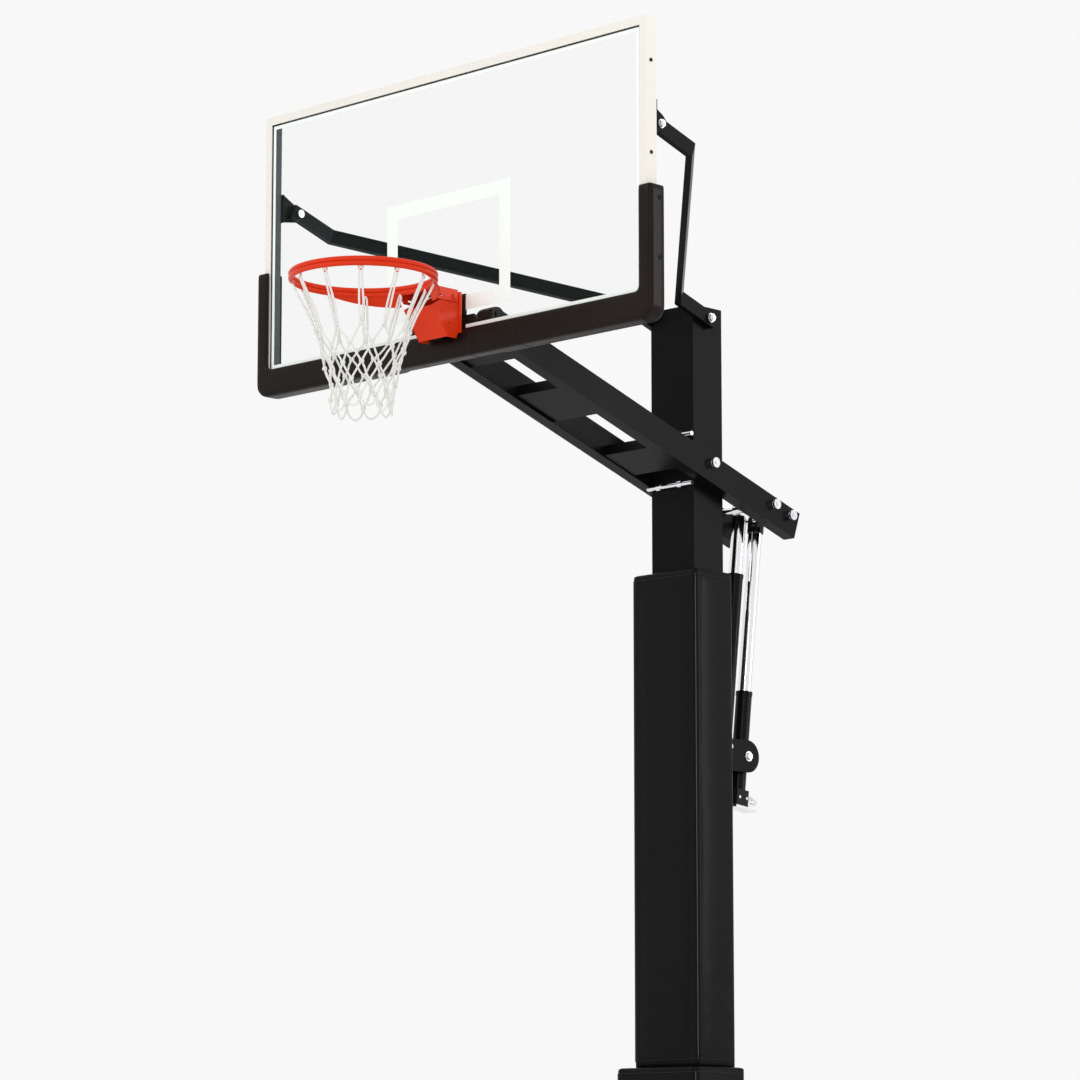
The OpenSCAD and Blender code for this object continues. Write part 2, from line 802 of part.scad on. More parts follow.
module centre_bracket() {
    low = board_z + frame_lip + 1;
    top = lug_z + 8;
    wing = 200;
    cheek = 8;
    reach = 30;
    color("#221c1a") difference() {
        union() {
            difference() {
                translate([0, glass_rear_y + 9, 0]) rotate([90, 0, 0]) linear_extrude(height = 8)
                    polygon([[-wing, low], [wing, low], [wing, top], [150, top], [130, top - 22],
                        [110, top], [rim_plate_width / 2 - 5, top],
                        [rim_plate_width / 2 - 5, rim_plate_z + rim_plate_height],
                        [-rim_plate_width / 2 + 5, rim_plate_z + rim_plate_height],
                        [-rim_plate_width / 2 + 5, top], [-110, top], [-130, top - 22], [-150, top],
                        [-wing, top]]);
                for (sx = [-1, 1]) for (z = [rim_plate_z + 32, rim_plate_z + rim_plate_height - 30])
                    rod_y(glass_rear_y, glass_rear_y + 10, 6, sx * 42, z);
            }
            both() for (x = [beam_in - 3 - cheek, beam_out + 3]) {
                span([x, glass_rear_y + 8, low], [x + cheek, lug_y, top]);
                rod_x(x, x + cheek, reach, lug_y, lug_z);
                span([x, frame_rear_y + 1, board_z - 2], [x + cheek, lug_y, low + 1]);
            }
            span([-wing, frame_rear_y + 0.5, board_z + 4], [wing, frame_rear_y + 8, board_z + 50]);
        }
        rod_x(-wing, wing, small_pin + running_gap, lug_y, lug_z);
    }
}

// one tab on the board frame's rear at the +X side
module tab() {
    x = flat_spread + flat_thickness / 2 + 2;
    plate = 6;
    side = board_width / 2;
    difference() {
        union() {
            span([x, frame_rear_y, tab_z - 35], [side - 2, frame_rear_y + plate, tab_z + 65]);
            translate([x, 0, 0]) rotate([90, 0, 90]) linear_extrude(height = plate) polygon([
                [frame_rear_y, tab_z - 35], [tab_y + 12, tab_z - 24], [tab_y + 24, tab_z - 8],
                [tab_y + 24, tab_z + 14], [tab_y + 8, tab_z + 30], [frame_rear_y, tab_z + 65]]);
        }
        rod_x(x - 1, x + plate + 1, tab_pin, tab_y, tab_z);
        rod_y(frame_rear_y - 1, frame_rear_y + plate + 1, 4, side - 14, tab_z - 20);
        rod_y(frame_rear_y - 1, frame_rear_y + plate + 1, 4, side - 14, tab_z + 50);
    }
}

module tab_right() {
    color("#1e1e20") tab();
}

module tab_left() {
    color("#1e1e20") mirror([1, 0, 0]) tab();
}

module tab_pins() {
    t = flat_thickness / 2;
    x0 = flat_spread - t - 2;
    x1 = flat_spread + t + 2 + 6;
    color("#a9acb0") both() {
        rod_x(x0, x1, tab_pin, tab_y, tab_z);
        rod_x(x0 - 8, x0, tab_pin + 6, tab_y, tab_z);
        nut_end(x1, tab_pin, tab_y, tab_z);
    }
}

module board_pad() {
    x = board_width / 2;
    xo = x + pad_side;
    zo = board_z - pad_under;
    z1 = board_z + pad_leg;
    r = pad_corner;
    y0 = board_y - pad_front;
    y1 = frame_rear_y + pad_rear;
    g = pad_gap;
    lip = frame_lip + gasket_show;
    color("#2e2622") difference() {
        translate([0, y1, 0]) rotate([90, 0, 0]) linear_extrude(height = y1 - y0) union() {
            translate([-xo + r, zo]) square([2 * (xo - r), z1 - zo]);
            translate([-xo, zo + r]) square([2 * xo, z1 - zo - r]);
            for (s = [-1, 1]) translate([s * (xo - r), zo + r]) circle(r = r);
        }
        // the board's own space
        span([-x - g, board_y - g, board_z - g], [x + g, frame_rear_y + g, z1 + 1]);
        // the window in front
        span([-x + frame_lip + 2, y0 - 1, board_z + pad_band], [x - frame_lip - 2, board_y + 1, z1 + 1]);
        span([-pad_notch_width / 2, y0 - 1, board_z + pad_notch_floor],
            [pad_notch_width / 2, board_y + 1, z1 + 1]);
        // open at the back above a narrow lip, and cut away for the centre bracket
        span([-x + lip, frame_rear_y - 1, board_z + 22], [x - lip, y1 + 1, z1 + 1]);
        span([-230, frame_rear_y - 1, zo - 1], [230, y1 + 1, z1 + 1]);
    }
}

module board_screws() {
    x = board_width / 2;
    color("#8c8f93") both() {
        for (z = [board_z + 842, board_z + 537]) rod_x(x, x + 3, 6, board_y + 22, z);
        for (z = [board_z + 386, board_z + 189]) rod_x(x + pad_side, x + pad_side + 1.5, 8,
            board_y + 34, z);
    }
}

module rim_plate() {
    x = rim_plate_width / 2;
    y1 = board_y - 2;
    color("#d8330f") {
        span([-x, rim_plate_y, rim_plate_z], [x, y1, rim_plate_z + rim_plate_height]);
        for (sx = [-1, 1]) for (z = [rim_plate_z + 32, rim_plate_z + rim_plate_height - 30])
            rod_y(y1, glass_rear_y + 1, 12, sx * 42, z);
        both() difference() {
            translate([gusset_out - rim_sheet, 0, 0]) rotate([90, 0, 90])
                linear_extrude(height = rim_sheet) polygon([[rim_plate_y, rim_plate_z],
                    [rim_plate_y - 7, cover_low], [rim_plate_y - cover_foot, cover_low],
                    [rim_plate_y - cover_reach, rim_pin_z - 40],
                    [rim_plate_y - 40, rim_pin_z + 8], [rim_plate_y - 12, rim_pin_z + 12],
                    [rim_plate_y, rim_pin_z + 12]]);
            rod_x(0, x + 1, hinge_pin_radius, rim_pin_y, rim_pin_z);
        }
        both() for (p = [[-73, -55], [-39, -88]])
            rod_x(gusset_out, gusset_out + 2.5, 5, rim_plate_y + p[0], rim_pin_z + p[1]);
    }
}

module rim_hinge_pin() {
    x = rim_plate_width / 2;
    color("#9da0a4") {
        rod_x(-x - 1, x + 1, hinge_pin_radius, rim_pin_y, rim_pin_z);
        both() rod_x(x + 1, x + 5, hinge_pin_radius + 4, rim_pin_y, rim_pin_z);
    }
}

module rim_cover() {
    x = gusset_out - rim_sheet - 0.3;
    color("#d8330f") translate([-x, 0, 0]) rotate([90, 0, 90]) linear_extrude(height = 2 * x)
        polygon([[rim_plate_y - cover_foot, cover_low + 1],
            [rim_plate_y - cover_reach + 1, rim_pin_z - 41],
            [rim_plate_y - cover_reach + 5, rim_pin_z - 39],
            [rim_plate_y - cover_foot + 4, cover_low + 4]]);
}

module rim_bracket() {
    x = rim_plate_width / 2;
    yr = rim_plate_y - 7;
    yf = rim_plate_y - 118;
    color("#e8401f") difference() {
        union() {
            span([-x, ring_y + ring_mid - 12, top_plate_z], [x, yr, top_plate_z + 6]);
            both() translate([x - rim_sheet, 0, 0]) rotate([90, 0, 90])
                linear_extrude(height = rim_sheet) polygon([[yr, top_plate_z + 1],
                    [yr, rim_pin_z - 16], [yf + 4, rim_pin_z - 18], [yf - 4, rim_pin_z - 6],
                    [yf - 6, top_plate_z + 1]]);
        }
        translate([0, ring_y, top_plate_z - 60]) cylinder(r = ring_mid + ring_rod + 0.05, h = 80);
        rod_x(-x - 1, x + 1, hinge_pin_radius + running_gap, rim_pin_y, rim_pin_z);
        both() span([x - rim_sheet - 1, rim_plate_y - 96, rim_pin_z - 8],
            [x + 1, rim_plate_y - 72, rim_pin_z - 2]);
    }
}

module ring() {
    color("#e8401f") translate([0, ring_y, 0]) {
        rotate_extrude() union() {
            translate([ring_mid, ring_height - ring_rod]) circle(r = ring_rod);
            translate([ring_mid, ring_height - ring_rod - ring_step]) circle(r = ring_rod);
            translate([ring_mid - 2, ring_height - ring_rod - ring_step]) square([4, ring_step]);
        }
        for (i = [0:net_loops - 1]) rotate([0, 0, (i + 0.5) * 360 / net_loops])
            translate([ring_mid - 5, 0, ring_low - 4]) rotate([0, 90, 0]) rotate_extrude($fn = 24)
                translate([7, 0]) circle(r = 2.2, $fn = 16);
    }
}

module ring_brace() {
    r0 = ring_mid - 2;
    r1 = ring_mid + brace_depth / 2;
    z0 = ring_low - 0.05;
    z1 = z0 - brace_depth;
    tip = ring_mid * cos(brace_reach);
    color("#e8401f") translate([0, ring_y, 0]) difference() {
        rotate_extrude($fn = 240) polygon([[r0, z0], [r0 + 4, z0], [r1 + 4, z1], [r1, z1]]);
        // the sloping underside: full depth at the back, nothing at the tips
        rotate([90, 0, 90]) linear_extrude(height = 800, center = true)
            polygon([[tip, z0 + 1], [ring_mid, z1 + 1], [ring_mid + 200, z1 - 200], [-400, z1 - 200],
                [-400, z0 + 1]]);
        span([-rim_plate_width / 2 - 0.05, 0, z1 - 1], [rim_plate_width / 2 + 0.05, 400, z0 + 1]);
    }
}

module net() {
    top = ring_low - 14;
    r0 = ring_mid - 12;
    r1 = net_low_radius;
    t = net_thickness;
    color("#ecebe4") translate([0, ring_y, 0]) rotate_extrude() polygon([[r0 - t, top], [r0, top],
        [r1 + 26, top - net_length * 0.55], [r1, top - net_length * 0.85], [r1, top - net_length],
        [r1 - t, top - net_length], [r1 - t, top - net_length * 0.85],
        [r1 + 26 - t, top - net_length * 0.55]]);
}

module screw_tube() {
    color("#c3c6ca") screw_frame() translate([0, 0, -screw_shown - screw_inside])
        cylinder(r = rod_radius, h = screw_shown + screw_inside - 48);
}

// two ears round a pin on top of a tube
module ears() {
    for (s = [-1, 1]) difference() {
        union() {
            span([s > 0 ? 14 : -22, -19, -48], [s > 0 ? 22 : -14, 19, 0]);
            rod_x(s > 0 ? 14 : -22, s > 0 ? 22 : -14, 19);
        }
        rod_x(-30, 30, small_pin + running_gap);
    }
}

module screw_clevis() {
    color("#1c1c1e") screw_frame() {
        translate([0, 0, -48]) cylinder(r = rod_radius + 3, h = 20);
        ears();
    }
}

// a closed-ended casing with a close-fitting mouth, from z0 up to z1
module casing(z0, z1) {
    difference() {
        translate([0, 0, z0]) cylinder(r = casing_radius, h = z1 - z0);
        translate([0, 0, z0 + 8]) cylinder(r = rod_radius + casing_gap, h = z1 - z0 - 7);
    }
    difference() {
        translate([0, 0, z1 - 14]) cylinder(r = casing_radius + 1.5, h = 14);
        translate([0, 0, z1 - 15]) cylinder(r = rod_radius + casing_gap, h = 16);
    }
}

module screw_casing() {
    color("#1c1c1e") screw_frame() {
        casing(-screw_shown - screw_casing_length, -screw_shown);
        difference() {
            span([-bracket_half_gap + 2, -40, -screw_length - 26], [bracket_half_gap - 2, 40,
                -screw_length + 26]);
            translate([0, 0, -screw_length - 30]) cylinder(r = casing_radius - 1, h = 60);
        }
    }
}

module gearbox() {
    z1 = -screw_shown - screw_casing_length;
    h = gearbox_width / 2;
    color("#1c1c1e") screw_frame() span([-h, -h - 2, z1 - gearbox_height], [h, h - 2, z1]);
}

module gearbox_plate() {
    z0 = -screw_shown - screw_casing_length - gearbox_height;
    h = gearbox_width / 2;
    color("#b9bcc0") screw_frame() {
        span([-h, -h - 2, z0 - 8], [h, h + crank_length - 12, z0]);
        both() for (y = [-h + 11, h - 13]) rod_x(h, h + 3, 5, y, z0 + gearbox_height / 2);
    }
}

module crank_fitting() {
    z0 = -screw_shown - screw_casing_length - gearbox_height / 2;
    y0 = gearbox_width / 2 - 1.5;
    y1 = y0 + crank_length - 18;
    color("#b9bcc0") screw_frame() {
        rod_y(y0, y0 + 10, crank_radius, 0, z0);
        difference() {
            span([-13, y0 + 9, z0 - 18], [13, y0 + 42, z0 + 18]);
            span([-14, y0 + 17, z0 - 11], [14, y0 + 43, z0 + 11]);
        }
        translate([0, y0 + 31, z0 - 20]) cylinder(r = 5, h = 40);
        rod_y(y0 + 22, y1 + 1, crank_radius - 11, 0, z0);
        translate([0, 0, z0]) rotate([-90, 0, 0]) translate([0, 0, y1 - 1])
            cylinder(r = crank_radius - 7, h = 19, $fn = 6);
    }
}

module spring_tube() {
    color("#c3c6ca") spring_frame() {
        translate([0, 0, -spring_shown - spring_inside])
            cylinder(r = rod_radius, h = spring_shown + spring_inside - 26);
        difference() {
            rod_x(-14, 14, small_pin + 14);
            rod_x(-15, 15, small_pin + running_gap);
        }
        difference() {
            translate([0, 0, -40]) cylinder(r = 13, h = 20);
            rod_x(-15, 15, small_pin + 2);
        }
    }
}

module spring_casing() {
    color("#1c1c1e") spring_frame() {
        casing(-screw_length + 24, -spring_shown);
        rod_x(-18, 18, 22, 0, -screw_length);
        translate([0, 0, -screw_length]) cylinder(r = 16, h = 30);
    }
}

base_tray();
wheel_mounts();
ballast_blocks();
base_deck();
post_foot();
level_feet();
wheel_tyre_left();
wheel_tyre_right();
wheel_hub_left();
wheel_hub_right();
caster_fork_left();
caster_fork_right();
caster_tyre_left();
caster_tyre_right();
caster_hub_left();
caster_hub_right();
post();
post_cap();
post_pad();
foot_pad();
stop_rods();
screw_bracket();
bracket_bolts();
beam_left();
beam_right();
cross_front();
cross_middle();
cross_rear();
pivot_pin();
spring_pin();
screw_pin();
board_pin();
upper_arm_left();
upper_arm_right();
upper_pin();
board_frame();
glass_gasket();
glass();
board_print();
centre_bracket();
tab_left();
tab_right();
tab_pins();
board_pad();
board_screws();
rim_plate();
rim_cover();
rim_hinge_pin();
rim_bracket();
ring();
ring_brace();
net();
screw_tube();
screw_clevis();
screw_casing();
gearbox();
gearbox_plate();
crank_fitting();
spring_tube();
spring_casing();
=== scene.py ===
import json
import math
import random

import bpy
import numpy as np
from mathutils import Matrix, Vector, noise
from mathutils.bvhtree import BVHTree


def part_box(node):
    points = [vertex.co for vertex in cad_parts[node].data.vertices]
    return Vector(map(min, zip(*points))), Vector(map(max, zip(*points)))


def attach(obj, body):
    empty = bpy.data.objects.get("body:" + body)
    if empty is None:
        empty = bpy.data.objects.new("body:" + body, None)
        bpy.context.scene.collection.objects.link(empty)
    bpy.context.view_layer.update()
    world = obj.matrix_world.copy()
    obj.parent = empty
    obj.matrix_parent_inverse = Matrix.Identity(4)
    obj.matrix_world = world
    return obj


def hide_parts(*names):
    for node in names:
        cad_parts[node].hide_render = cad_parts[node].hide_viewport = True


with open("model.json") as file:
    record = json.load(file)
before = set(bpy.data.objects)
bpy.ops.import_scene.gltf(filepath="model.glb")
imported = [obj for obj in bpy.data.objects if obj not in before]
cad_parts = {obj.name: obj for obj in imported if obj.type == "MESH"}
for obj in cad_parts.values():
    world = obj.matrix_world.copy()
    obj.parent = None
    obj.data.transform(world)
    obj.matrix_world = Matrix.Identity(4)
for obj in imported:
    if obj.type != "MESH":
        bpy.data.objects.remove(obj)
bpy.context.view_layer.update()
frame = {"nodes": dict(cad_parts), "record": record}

nodes = frame["nodes"]
random.seed(7)
print("frame loaded")


# a shader socket that can be added to and scaled like a number
class Field:
    def __init__(self, paint, socket):
        self.paint = paint
        self.socket = socket

    def join(self, kind, a, b):
        return self.paint.node("ShaderNodeMath", {"operation": kind}, {0: a, 1: b})

    def __add__(self, b):
        return self.join("ADD", self, b)

    def __radd__(self, b):
        return self.join("ADD", b, self)

    def __mul__(self, b):
        return self.join("MULTIPLY", self, b)

    def __rmul__(self, b):
        return self.join("MULTIPLY", b, self)


# one material with its principled shader; fixed values go on the shader's own sockets
class Paint:
    def __init__(self, name, color, rough, **fixed):
        self.mat = bpy.data.materials.new(name)
        self.mat.use_nodes = True
        self.tree = self.mat.node_tree
        self.shader = self.tree.nodes["Principled BSDF"]
        self.shader.inputs["Base Color"].default_value = (*color, 1)
        self.shader.inputs["Roughness"].default_value = rough
        for key, value in fixed.items():
            self.shader.inputs[key.replace("_", " ")].default_value = value

    def link(self, value, socket):
        if isinstance(value, Field):
            self.tree.links.new(value.socket, socket)
        elif isinstance(value, (tuple, list)) and len(value) == 3 and socket.type == "RGBA":
            socket.default_value = (*value, 1)
        else:
            socket.default_value = value

    def node(self, kind, settings=None, inputs=None, out=0):
        made = self.tree.nodes.new(kind)
        for key, value in (settings or {}).items():
            setattr(made, key, value)
        for key, value in (inputs or {}).items():
            self.link(value, made.inputs[key])
        return Field(self, made.outputs[out])

    # object coordinates, stretched along the axes
    def place(self, stretch=(1, 1, 1)):
        spot = self.node("ShaderNodeTexCoord", out=3)
        return self.node("ShaderNodeVectorMath", {"operation": "MULTIPLY"}, {0: spot, 1: stretch})

    def cloud(self, scale, detail=3, stretch=(1, 1, 1), rough=0.5):
        return self.node("ShaderNodeTexNoise", None, {"Vector": self.place(stretch),
            "Scale": scale, "Detail": detail, "Roughness": rough})

    def cells(self, scale, feature="F1"):
        return self.node("ShaderNodeTexVoronoi", {"feature": feature},
            {"Vector": self.place(), "Scale": scale})

    def bands(self, direction, scale, **more):
        return self.node("ShaderNodeTexWave", {"wave_type": "BANDS", "bands_direction": direction},
            {"Vector": self.place(), "Scale": scale, **more})

    def ramp(self, value, low, high, start=0.0, end=1.0):
        return self.node("ShaderNodeMapRange", {"clamp": True}, {"Value": value,
            "From Min": low, "From Max": high, "To Min": start, "To Max": end})

    # sockets 0, 6 and 7 of a colour mix are its factor and its two colours
    def mix(self, amount, a, b):
        return self.node("ShaderNodeMix", {"data_type": "RGBA"}, {0: amount, 6: a, 7: b}, 2)

    def color(self, value):
        self.link(value, self.shader.inputs["Base Color"])
        return self

    def rough(self, value):
        self.link(value, self.shader.inputs["Roughness"])
        return self

    def bump(self, height, depth):
        bumped = self.node("ShaderNodeBump", None, {"Height": height, "Distance": depth})
        self.link(bumped, self.shader.inputs["Normal"])
        return self

    # two colours in soft patches
    def patches(self, scale, detail, low, high, first, second):
        return self.color(self.mix(self.ramp(self.cloud(scale, detail), low, high), first, second))


# baked powder paint: faint dusty smears and a fine grain
def powderCoat(name, color, dusty, rough, specular, grain=0.00012):
    p = Paint(name, color, rough, Specular_IOR_Level=specular)
    smear = p.cloud(3.1, 4, (1, 1, 0.45))
    fleck = p.cloud(240, 2)
    p.color(p.mix(p.ramp(smear, 0.42, 0.72, 0, 0.55), color, dusty))
    p.rough(p.ramp(smear, 0.3, 0.7, rough - 0.05, rough + 0.07) + fleck * 0.03)
    p.bump(fleck, grain)
    return p


# bright metal with long drawing marks
def polished(name, color, rough):
    p = Paint(name, color, rough, Metallic=1.0)
    brushed = p.cloud(40, 3, (1, 1, 0.05))
    p.color(p.mix(p.ramp(brushed, 0.35, 0.7), color, tuple(c * 0.93 for c in color)))
    p.rough(p.ramp(brushed, 0.3, 0.75, rough, rough + 0.08))
    return p


# coated cloth or skinned foam: leather-like cells over slack creases
def vinyl(name, color, worn, rough, grainScale, grain, coat):
    p = Paint(name, color, rough, Specular_IOR_Level=0.05, Coat_Weight=coat, Coat_Roughness=0.16)
    soft = p.cloud(2.4, 3)
    cell = p.cells(grainScale, "DISTANCE_TO_EDGE")
    crease = p.cloud(14, 5, (1, 1, 0.35), 0.6)
    p.color(p.mix(p.ramp(soft, 0.4, 0.75, 0, 0.6), color, worn))
    p.rough(p.ramp(soft, 0.3, 0.7, rough - 0.04, rough + 0.06))
    p.bump(p.ramp(cell, 0.0, 0.12, 0, grain) + crease * (grain * 2.2), 1.0)
    return p


blackSteel = powderCoat("blackSteel", (0.0028, 0.0029, 0.0034), (0.0058, 0.006, 0.007), 0.3, 0.055)
casingBlack = powderCoat("casingBlack", (0.004, 0.004, 0.0045), (0.008, 0.008, 0.009), 0.26, 0.09)
bracketBrown = powderCoat("bracketBrown", (0.012, 0.0068, 0.005), (0.018, 0.011, 0.009), 0.36, 0.1)
rimOrange = powderCoat("rimOrange", (0.68, 0.036, 0.007), (0.54, 0.022, 0.004), 0.3, 0.12)
frameCream = powderCoat("frameCream", (0.79, 0.765, 0.71), (0.75, 0.72, 0.66), 0.36, 0.3)
zincSteel = polished("zincSteel", (0.56, 0.57, 0.58), 0.28)
chromeTube = polished("chromeTube", (0.83, 0.84, 0.86), 0.06)
padVinyl = vinyl("padVinyl", (0.0024, 0.0023, 0.0022), (0.0048, 0.0044, 0.0041), 0.3,
    420, 0.00018, 0.05)
boardFoam = vinyl("boardFoam", (0.0085, 0.0052, 0.0037), (0.014, 0.009, 0.0066), 0.34,
    300, 0.00015, 0.09)

glassClear = Paint("glassClear", (0.12, 0.22, 0.19), 0.02, Alpha=0.02, IOR=1.45)
glassClear.patches(1.7, 2, 0.3, 0.8, (0.12, 0.22, 0.19), (0.1, 0.2, 0.17))
printWhite = Paint("printWhite", (0.86, 0.9, 0.87), 0.3)
printWhite.patches(60, 3, 0.35, 0.7, (0.86, 0.905, 0.872), (0.84, 0.885, 0.85))
gasketRubber = Paint("gasketRubber", (0.012, 0.012, 0.012), 0.6)
gasketRubber.bump(gasketRubber.cloud(300, 2), 0.0001)
gasketRubber.rough(gasketRubber.ramp(gasketRubber.cloud(30, 3), 0.3, 0.7, 0.5, 0.68))
tyreRubber = Paint("tyreRubber", (0.018, 0.018, 0.018), 0.75)
tyreRubber.patches(26, 4, 0.45, 0.75, (0.016, 0.016, 0.016), (0.05, 0.047, 0.043))
tyreRubber.bump(tyreRubber.cloud(160, 3), 0.0003)
hubNylon = Paint("hubNylon", (0.27, 0.27, 0.28), 0.5)
hubNylon.patches(20, 3, 0.4, 0.7, (0.27, 0.27, 0.28), (0.22, 0.22, 0.22))
hubNylon.bump(hubNylon.cloud(400, 2), 0.00008)
castBlock = Paint("castBlock", (0.32, 0.31, 0.29), 0.9)
castBlock.patches(30, 5, 0.3, 0.7, (0.36, 0.35, 0.33), (0.24, 0.23, 0.21))
castBlock.bump(castBlock.cells(70), 0.001)

netCord = Paint("netCord", (0.9, 0.9, 0.87), 0.85, Sheen_Weight=0.25)
# the cord's twist: the diagonal bands give a real bump, and the colour darkens in the grooves between
# strands as painted shade
twistAndGrooveShade = netCord.bands("DIAGONAL", 95, Distortion=1.5, Detail=1)
netCord.color(netCord.mix(netCord.ramp(twistAndGrooveShade, 0.1, 0.8), (0.62, 0.62, 0.58), (0.97, 0.97, 0.94)))
netCord.bump(twistAndGrooveShade, 0.0008)
strapWeb = Paint("strapWeb", (0.012, 0.012, 0.013), 0.8)
web = strapWeb.bands("Z", 260)
strapWeb.bump(web, 0.0004)
strapWeb.color(strapWeb.mix(web, (0.01, 0.01, 0.011), (0.02, 0.02, 0.022)))
padWelt = Paint("padWelt", (0.004, 0.0038, 0.0038), 0.45, Specular_IOR_Level=0.2)
thread = padWelt.cloud(700, 2)
padWelt.color(padWelt.mix(thread, (0.003, 0.003, 0.003), (0.009, 0.0085, 0.008)))
padWelt.bump(thread, 0.0003)
# corner welt vinyl, much lighter than the pad vinyl: a painted highlight along the pads' front
# corners
weltPaintedHighlight = Paint("weltPaintedHighlight", (0.03, 0.029, 0.027), 0.3)
weltPaintedHighlight.patches(22, 3, 0.35, 0.7, (0.034, 0.033, 0.031), (0.018, 0.0175, 0.0165))
weltPaintedHighlight.bump(weltPaintedHighlight.cloud(420, 2), 0.0001)
linerGrey = Paint("linerGrey", (0.045, 0.058, 0.068), 0.55)
linerGrey.patches(30, 3, 0.3, 0.7, (0.045, 0.058, 0.068), (0.034, 0.043, 0.05))
print("materials made")

slotPaint = {
    "steel_black": blackSteel, "steel_grey": zincSteel, "chrome": chromeTube,
    "casing_black": casingBlack, "frame_white": frameCream, "glass": glassClear,
    "gasket": gasketRubber, "print": printWhite, "bracket_brown": bracketBrown,
    "board_pad": boardFoam, "pad_vinyl": padVinyl, "rim_orange": rimOrange,
    "net_cord": netCord, "tyre": tyreRubber, "hub": hubNylon, "ballast": castBlock,
    "foot_rubber": tyreRubber,
}
for part in frame["record"]["subparts"]:
    held = nodes[part["node"]].data.materials
    held.clear()
    held.append(slotPaint[part["material_slot"]].mat)
print("frame painted")


def newPiece(name, verts, faces, paint, body, smooth=True):
    mesh = bpy.data.meshes.new(name)
    mesh.from_pydata([tuple(v) for v in verts], [], faces)
    mesh.validate()
    mesh.materials.append(paint.mat)
    piece = bpy.data.objects.new(name, mesh)
    bpy.context.scene.collection.objects.link(piece)
    if smooth:
        mesh.polygons.foreach_set("use_smooth", [True] * len(mesh.polygons))
    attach(piece, body)
    return piece


# a tube of even thickness along points, its ends closed
def tube(points, radius, sides=8):
    pts = [Vector(p) for p in points]
    verts, faces = [], []
    side = None
    for i, p in enumerate(pts):
        ahead = pts[min(i + 1, len(pts) - 1)] - pts[max(i - 1, 0)]
        ahead.normalize()
        if side is None:
            side = ahead.orthogonal().normalized()
        side = (side - ahead * side.dot(ahead)).normalized()
        up = ahead.cross(side)
        for k in range(sides):
            a = 2 * math.pi * k / sides
            verts.append(p + side * math.cos(a) * radius + up * math.sin(a) * radius)
    for i in range(len(pts) - 1):
        for k in range(sides):
            a, b = i * sides + k, i * sides + (k + 1) % sides
            faces.append((a, b, b + sides, a + sides))
    faces.append(tuple(reversed(range(sides))))
    faces.append(tuple(range((len(pts) - 1) * sides, len(pts) * sides)))
    return verts, faces


# several shapes as one list of points and one of faces
def merge(parts):
    verts, faces = [], []
    for v, f in parts:
        base = len(verts)
        verts += v
        faces += [tuple(i + base for i in face) for face in f]
    return verts, faces


# a smooth curve through the points, with steps points for each span
def smoothPath(points, steps):
    pts = [Vector(p) for p in points]
    out = []
    for i in range(len(pts) - 1):
        a, b, c, d = pts[max(i - 1, 0)], pts[i], pts[i + 1], pts[min(i + 2, len(pts) - 1)]
        for s in range(steps):
            t = s / steps
            out.append(0.5 * ((2 * b) + (c - a) * t + (2 * a - 5 * b + 4 * c - d) * t * t
                + (3 * b - a - 3 * c + d) * t ** 3))
    out.append(pts[-1])
    return out


# a thin dark blue-grey sheet on the inner sides of the frame's rear box, behind the glass
liner = {"lip": 0.029, "thick": 0.0012, "behindGlass": 0.004, "clear": 0.0002, "ends": 0.001,
    "rows": 24}


def buildLiner():
    low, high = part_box("board_frame")
    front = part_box("glass")[1].y + liner["behindGlass"]
    back = high.y - liner["ends"]
    bottom = low.z + liner["lip"] + liner["ends"]
    height = high.z - low.z - 2 * liner["lip"] - 2 * liner["ends"]
    rows = liner["rows"]
    parts = []
    for side in (-1, 1):
        wall = (high.x - liner["lip"]) * side
        inner, outer = wall - liner["thick"] * side, wall - liner["clear"] * side
        verts, faces = [], []
        for k in range(rows + 1):
            z = bottom + height * k / rows
            verts += [(inner, front, z), (outer, front, z), (outer, back, z), (inner, back, z)]
        for k in range(rows):
            for c in range(4):
                a, b = k * 4 + c, k * 4 + (c + 1) % 4
                faces.append((a, b, b + 4, a + 4))
        faces += [(3, 2, 1, 0), tuple(range(rows * 4, rows * 4 + 4))]
        parts.append((verts, faces))
    verts, faces = merge(parts)
    newPiece("frame_liner", verts, faces, linerGrey, "board", smooth=False)
    print("liner made")


# the net: doubled cords from each hook, then rows of knots, then hanging loops
# drops and radii go from the hooks down to the lowest loops
net = {"loops": 12, "cord": 0.0034, "pair": 0.0085, "jitter": 0.005, "below": 0.0365,
    "drops": (0.0, 0.166, 0.226, 0.284, 0.34, 0.392, 0.436),
    "radii": (0.2315, 0.158, 0.137, 0.12, 0.108, 0.102),
    "hookDrop": 0.004, "hookRise": 0.0052, "firstKnot": 0.0075, "knots": (0.0068, 0.0085),
    "knotShape": (0.75, 0.55, 0.6), "sag": (-0.002, 0.004), "wave": 0.002, "dip": (-0.008, 0.006)}


